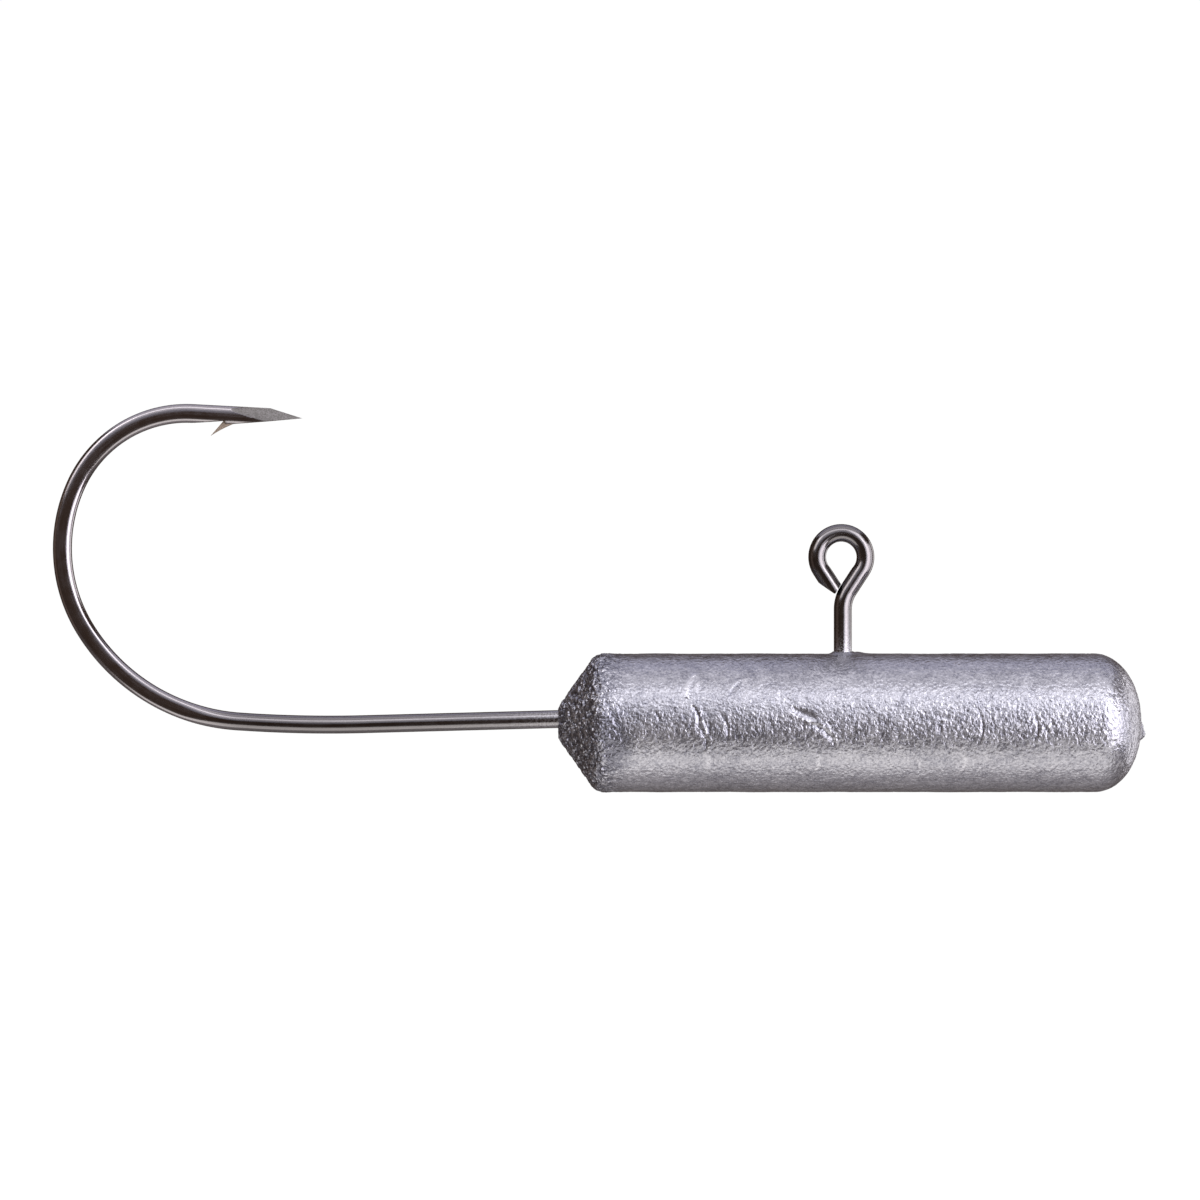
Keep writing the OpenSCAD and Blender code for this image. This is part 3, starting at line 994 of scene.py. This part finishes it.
def cast_lead_finish(looks):
    """Oxidised lead with brighter rubs, painted highlights on the lips of scratches and dents, and
    painted shade in their grooves and bowls and in a painted shadow. Its noises are scaled in lumps per
    millimetre.
    """
    material, tree = new_material("cast_lead")
    place = in_millimetres(tree)
    rough = value_of(tree, "rough")
    pit = value_of(tree, "pit")
    rubbed = value_of(tree, "rubbed")
    clouds = noise(tree, place, 0.32, 4.0, 0.6)
    mottle = noise(tree, place, 1.9, 5.0, 0.65)
    streaks = {"Vector": place, "Rotation": (0, 0.35, 0), "Scale": (5.2, 2.0, 2.0)}
    streaked = add_node(tree, "ShaderNodeMapping", streaks)
    dashes = noise(tree, streaked.outputs["Vector"], 1.0, 1.0, 0.5)
    grit = noise(tree, place, 4.6, 1.0, 0.5)
    specks = noise(tree, place, 6.5, 4.0, 0.75)
    pocks = between(tree, dashes, 0.60, 0.70)
    pocks = maths(tree, "MULTIPLY", pocks, value_of(tree, "pitted"))
    tone = between(tree, clouds, 0.3, 0.7, 0.42, 0.62)
    tone = maths(tree, "ADD", tone, between(tree, mottle, 0.3, 0.7, -0.18, 0.18))
    speckle = maths(tree, "MULTIPLY_ADD", rough, 0.5, 0.6)
    fine = between(tree, specks, 0.32, 0.68, -0.5, 0.5)
    tone = maths(tree, "MULTIPLY_ADD", fine, speckle, tone)
    sparks = between(tree, specks, 0.64, 0.72)
    # The marks' value lightens rubs and paints highlights on lips, and paints shade in grooves, dent
    # bowls and the painted shadow.
    shades = ((pit, -0.35), (pocks, -0.3), (rough, -0.36), (rubbed, 0.7), (sparks, 0.4))
    for patch, amount in shades:
        tone = maths(tree, "MULTIPLY_ADD", patch, amount, tone)
    tone = maths(tree, "MULTIPLY_ADD", value_of(tree, "crust"), 0.8, tone, clamp=True)
    base = mix_colour(tree, tone, solid(looks.lead_dark), solid(looks.lead_light))
    polish = between(tree, mottle, 0.3, 0.7, 0.27, 0.38)
    coarse = maths(tree, "MULTIPLY_ADD", rough, 1.6, 1.0)
    normal = bump(tree, maths(tree, "MULTIPLY", grit, coarse), 0.055 * MM)
    normal = bump(tree, dashes, 0.014 * MM, 1.0, normal)
    normal = bump(tree, maths(tree, "MULTIPLY", pocks, -1.0), 0.016 * MM, 1.0, normal)
    shader = add_node(
        tree,
        "ShaderNodeBsdfPrincipled",
        {"Base Color": base, "Metallic": 0.9, "Roughness": polish, "Normal": normal},
    )
    finish_with(tree, shader)
    return material


def black_nickel_finish(looks):
    """Dark plating with drawing lines along the wire, ground facets and specks of lead."""
    material, tree = new_material("black_nickel")
    place = in_millimetres(tree)
    ground = value_of(tree, "ground")
    smeared = value_of(tree, "smeared")
    drawn = add_node(
        tree,
        "ShaderNodeCombineXYZ",
        {
            "X": maths(tree, "MULTIPLY", value_of(tree, "along"), 0.35),
            "Y": maths(tree, "MULTIPLY", value_of(tree, "around"), 34.0),
        },
    )
    lines = noise(tree, drawn.outputs["Vector"], 1.0, 4.0, 0.6)
    grit = noise(tree, place, 11.0, 4.0, 0.7)
    mottle = noise(tree, place, 1.2, 3.0, 0.6)
    stone = maths(tree, "MULTIPLY", ground, between(tree, grit, 0.3, 0.7, 0.55, 1.0))
    plated = mix_colour(
        tree, value_of(tree, "forged"), solid(looks.nickel), solid(looks.forged_nickel)
    )
    base = mix_colour(tree, stone, plated, solid(looks.ground_steel))
    bare = maths(tree, "SUBTRACT", ground, 1.0, clamp=True)
    base = mix_colour(tree, bare, base, solid(looks.bare_steel))
    flecks = maths(tree, "MULTIPLY", smeared, between(tree, grit, 0.42, 0.56))
    base = mix_colour(tree, flecks, base, solid(looks.lead_light))
    polish = between(tree, lines, 0.3, 0.7, 0.10, 0.18)
    polish = maths(tree, "ADD", polish, between(tree, mottle, 0.3, 0.7, 0.0, 0.06))
    polish = maths(tree, "MULTIPLY_ADD", ground, 0.30, polish)
    polish = maths(tree, "MULTIPLY_ADD", flecks, 0.3, polish)
    normal = bump(tree, lines, 0.002 * MM, 0.5)
    worked = maths(tree, "ADD", ground, smeared)
    normal = bump(tree, maths(tree, "MULTIPLY", grit, worked), 0.006 * MM, 0.9, normal)
    shader = add_node(
        tree,
        "ShaderNodeBsdfPrincipled",
        {"Base Color": base, "Metallic": 1.0, "Roughness": polish, "Normal": normal},
    )
    finish_with(tree, shader)
    return material


def floor_finish(looks, stage):
    """Pale paper that the eye sees fade to plain white away from the object."""
    material, tree = new_material("pale_floor")
    place = tree.nodes.new("ShaderNodeTexCoord").outputs["Object"]
    weave = noise(tree, place, 40.0, 4.0, 0.6)
    shade = between(tree, weave, 0.3, 0.7, 0.0, 0.06)
    base = mix_colour(tree, shade, solid(looks.floor), solid(looks.floor_fibre))
    away = add_node(tree, "ShaderNodeVectorMath", {0: place}, operation="LENGTH").outputs["Value"]
    fade = between(tree, away, stage.floor_near, stage.floor_far, stage.floor_glow, SEEN_WHITE)
    seen = add_node(tree, "ShaderNodeLightPath").outputs["Is Camera Ray"]
    shader = add_node(
        tree,
        "ShaderNodeBsdfPrincipled",
        {
            "Base Color": base,
            "Roughness": between(tree, weave, 0.3, 0.7, 0.72, 0.86),
            "Normal": bump(tree, noise(tree, place, 600.0, 3.0, 0.6), 0.1 * MM),
            "Emission Color": (1.0, 1.0, 1.0, 1.0),
            "Emission Strength": maths(tree, "MULTIPLY", fade, seen),
        },
    )
    finish_with(tree, shader)
    return material


# ---------------------------------------------------------------- pieces


CRISP_ANGLE = math.radians(34)


def show_piece(name, mesh, finish):
    """Puts a finished mesh in the scene as a smooth piece with crisp corners."""
    mesh.materials.clear()
    mesh.materials.append(finish)
    mesh.polygons.foreach_set("material_index", [0] * len(mesh.polygons))
    mesh.shade_smooth()
    mesh.set_sharp_from_angle(angle=CRISP_ANGLE)
    piece = bpy.data.objects.new(name, mesh)
    bpy.context.scene.collection.objects.link(piece)
    return piece


def check_closed(mesh, name):
    bm = bmesh.new()
    bm.from_mesh(mesh)
    loose = sum(not edge.is_manifold for edge in bm.edges)
    volume = bm.calc_volume(signed=True)
    bm.free()
    if loose or volume <= 0:
        raise RuntimeError(f"{name} has {loose} open edges and a volume of {volume:g}")


SMEAR_UP_LEG = 0.8 * MM
SMEAR_ALONG_SHANK = 4 * MM
SHANK_SMEAR = 0.45
LEG_REACH = 2 * MM


def smear_lead(mesh, lead):
    """Stores where specks of lead stick to the wire: above the lead and behind its tail."""
    places = get_places(mesh)
    above = places[:, 2] - (MOUNTS["tube_body"]["pos_m"][2] + lead.radius)
    behind = LEAD_LOW.x - places[:, 0]
    near = np.exp(-(above.clip(0) / SMEAR_UP_LEG))
    at_tail = np.where(behind > 0, SHANK_SMEAR * np.exp(-behind / SMEAR_ALONG_SHANK), 0)
    put_values(mesh, "smeared", np.where(np.abs(places[:, 0]) < LEG_REACH, near, at_tail))


class JIG_OT_forge_hook(bpy.types.Operator):
    """Draw, forge and grind the hook from one length of wire"""

    bl_idname = "jig.forge_hook"
    bl_label = "Forge hook"

    def execute(self, context):
        hook, looks = context.scene.jig_hook, context.scene.jig_finishes
        finish = black_nickel_finish(looks)
        wire = Wire(hook)
        mesh = swept_wire(wire, hook, finish)
        press_eye(mesh, hook)
        bm = bmesh.new()
        bm.from_mesh(mesh)
        bm.faces.layers.float.new("ground")
        cut_wire_end(bm, wire, hook)
        grind_point(bm, wire, hook)
        bm.to_mesh(mesh)
        bm.free()
        mesh = chisel_notch(mesh, wire, hook)
        mesh = combine(mesh, barb_mesh(wire, hook), "UNION")
        smear_lead(mesh, context.scene.jig_lead)
        check_closed(mesh, "the hook")
        piece = show_piece("forged_hook", mesh, finish)
        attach(piece, BODY)
        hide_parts("hook")
        return {"FINISHED"}


# How far the wire that cuts the channel sticks out of the lead.
PAST_TAIL = 2 * MM
UP_LEG = 0.5 * MM


class JIG_OT_cast_lead(bpy.types.Operator):
    """Cast the lead round the leg, the elbow and the shank"""

    bl_idname = "jig.cast_lead"
    bl_label = "Cast lead"

    def execute(self, context):
        scene = context.scene
        hook, lead, looks = scene.jig_hook, scene.jig_lead, scene.jig_finishes
        finish = cast_lead_finish(looks)
        values = size_values(lead, SKIN_SIZES, finish)
        mesh = run_tree(casting_skin_tree(), lead_mesh(lead, hook), values)
        wire = Wire(hook)
        leg, shank = wire.starts["leg"][2], wire.starts["shank"][2]
        past_tail = wire.starts["heel"][2] - hook.sweep_radius * hook.sweep_turn
        past_tail -= hook.shank_length - PAST_TAIL
        channel = swept_wire(wire, hook, finish, leg - UP_LEG, max(past_tail, shank))
        mesh = combine(mesh, channel, "DIFFERENCE")
        check_closed(mesh, "the lead")
        piece = show_piece("cast_lead", mesh, finish)
        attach(piece, BODY)
        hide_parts("lead_head")
        return {"FINISHED"}


# The soft lights round the object: how far each one is turned to the right of the camera
# and raised, in degrees, its width and height in metres, its brightness and its tint.
LIGHTS = (
    ("high front", 0, 46, (0.60, 0.28), 0.85, (0.96, 0.96, 0.99)),
    ("high strip", 0, 48, (0.60, 0.11), 1.9, (0.96, 0.96, 0.99)),
    ("high left", -50, 28, (0.14, 0.16), 2.4, (1.0, 0.96, 0.93)),
    ("high right", 34, 28, (0.14, 0.14), 2.6, (0.97, 0.97, 1.0)),
    ("top", 0, 82, (0.60, 0.16), 1.2, (0.95, 0.95, 1.0)),
    ("top back", 0, 115, (0.60, 0.20), 0.9, (0.80, 0.82, 1.0)),
    ("front fill", 0, 20, (0.60, 0.10), 0.45, (0.80, 0.86, 1.0)),
    ("right of lens", 22, 0, (0.10, 0.14), 2.0, (0.94, 0.94, 1.0)),
    ("low front", 0, -61, (0.60, 0.26), 1.15, (1.0, 0.985, 0.91)),
    ("right front", 46, 0, (0.22, 0.30), 4.4, (1.0, 0.97, 1.0)),
    ("right side", 80, 0, (0.16, 0.30), 2.4, (0.98, 0.97, 1.0)),
    ("right back", 122, 0, (0.16, 0.30), 2.0, (1.0, 0.98, 0.97)),
    ("left side", -80, 0, (0.20, 0.30), 0.14, (1.0, 0.76, 0.62)),
)
LIGHT_DISTANCE = 0.34


class JIG_OT_set_stage(bpy.types.Operator):
    """Set the pale floor, the soft lights and the camera"""

    bl_idname = "jig.set_stage"
    bl_label = "Set stage"

    def execute(self, context):
        scene = context.scene
        stage, looks = scene.jig_stage, scene.jig_finishes
        middle = (CAD_BOX[0] + CAD_BOX[1]) / 2
        self.lay_floor(scene, stage, looks)
        for name, right, up, size, brightness, tint in LIGHTS:
            light = bpy.data.lights.new(name, "AREA")
            light.shape = "RECTANGLE"
            light.size, light.size_y = size
            light.energy = brightness * math.pi * size[0] * size[1]
            light.color = tint
            right, up = math.radians(right), math.radians(up)
            level = math.cos(up)
            away = Vector((level * math.sin(right), -level * math.cos(right), math.sin(up)))
            lamp = bpy.data.objects.new(name, light)
            lamp.location = middle + LIGHT_DISTANCE * away
            lamp.rotation_euler = (-away).to_track_quat("-Z", "Y").to_euler()
            scene.collection.objects.link(lamp)
        self.light_room(scene, stage, looks)
        lens = bpy.data.cameras.new("camera")
        lens.lens = stage.focal_length
        lens.clip_start = 0.01
        camera = bpy.data.objects.new("camera", lens)
        camera.location = middle + Vector(
            (stage.camera_side, -stage.camera_distance, -stage.camera_drop)
        )
        camera.rotation_euler = (math.pi / 2, 0, 0)
        scene.collection.objects.link(camera)
        scene.camera = camera
        scene.view_settings.view_transform = "Standard"
        return {"FINISHED"}

    def lay_floor(self, scene, stage, looks):
        half = stage.floor_size / 2
        bm = bmesh.new()
        bmesh.ops.create_grid(bm, x_segments=24, y_segments=24, size=half)
        bmesh.ops.translate(bm, vec=(0, 0, -stage.floor_drop), verts=bm.verts)
        mesh = bpy.data.meshes.new("floor")
        bm.to_mesh(mesh)
        bm.free()
        mesh.materials.append(floor_finish(looks, stage))
        floor = bpy.data.objects.new("floor", mesh)
        scene.collection.objects.link(floor)

    def light_room(self, scene, stage, looks):
        """A dim room that lights the object, behind a plain white that is only seen."""
        world = bpy.data.worlds.new("room")
        world.use_nodes = True
        tree = world.node_tree
        tree.nodes.clear()
        seen = add_node(tree, "ShaderNodeLightPath").outputs["Is Camera Ray"]
        room, white = (
            add_node(tree, "ShaderNodeBackground", {"Color": tint, "Strength": strength})
            for tint, strength in (
                (solid(looks.room), stage.room_light),
                ((1.0, 1.0, 1.0, 1.0), SEEN_WHITE),
            )
        )
        both = add_node(
            tree, "ShaderNodeMixShader", {0: seen, 1: room.outputs[0], 2: white.outputs[0]}
        )
        add_node(tree, "ShaderNodeOutputWorld", {"Surface": both.outputs[0]})
        scene.world = world


STEPS = (JIG_OT_forge_hook, JIG_OT_cast_lead, JIG_OT_set_stage)
GROUPS = {
    "jig_hook": HookSizes,
    "jig_lead": LeadSizes,
    "jig_finishes": Finishes,
    "jig_stage": StageSizes,
}


class JIG_PT_panel(bpy.types.Panel):
    bl_label = "Jig Head"
    bl_space_type = "VIEW_3D"
    bl_region_type = "UI"
    bl_category = "Jig Head"

    def draw(self, context):
        for step in STEPS:
            self.layout.operator(step.bl_idname)
        for name, group in GROUPS.items():
            box = self.layout.box()
            for size in group.__annotations__:
                box.prop(getattr(context.scene, name), size)


CLASSES = (*GROUPS.values(), *STEPS, JIG_PT_panel)


def register():
    for made in CLASSES:
        bpy.utils.register_class(made)
    for name, group in GROUPS.items():
        setattr(bpy.types.Scene, name, PointerProperty(type=group))


def unregister():
    for name in GROUPS:
        delattr(bpy.types.Scene, name)
    for made in reversed(CLASSES):
        bpy.utils.unregister_class(made)


def main():
    register()
    bpy.ops.jig.forge_hook()
    bpy.ops.jig.cast_lead()
    bpy.ops.jig.set_stage()


if __name__ == "__main__":
    main()
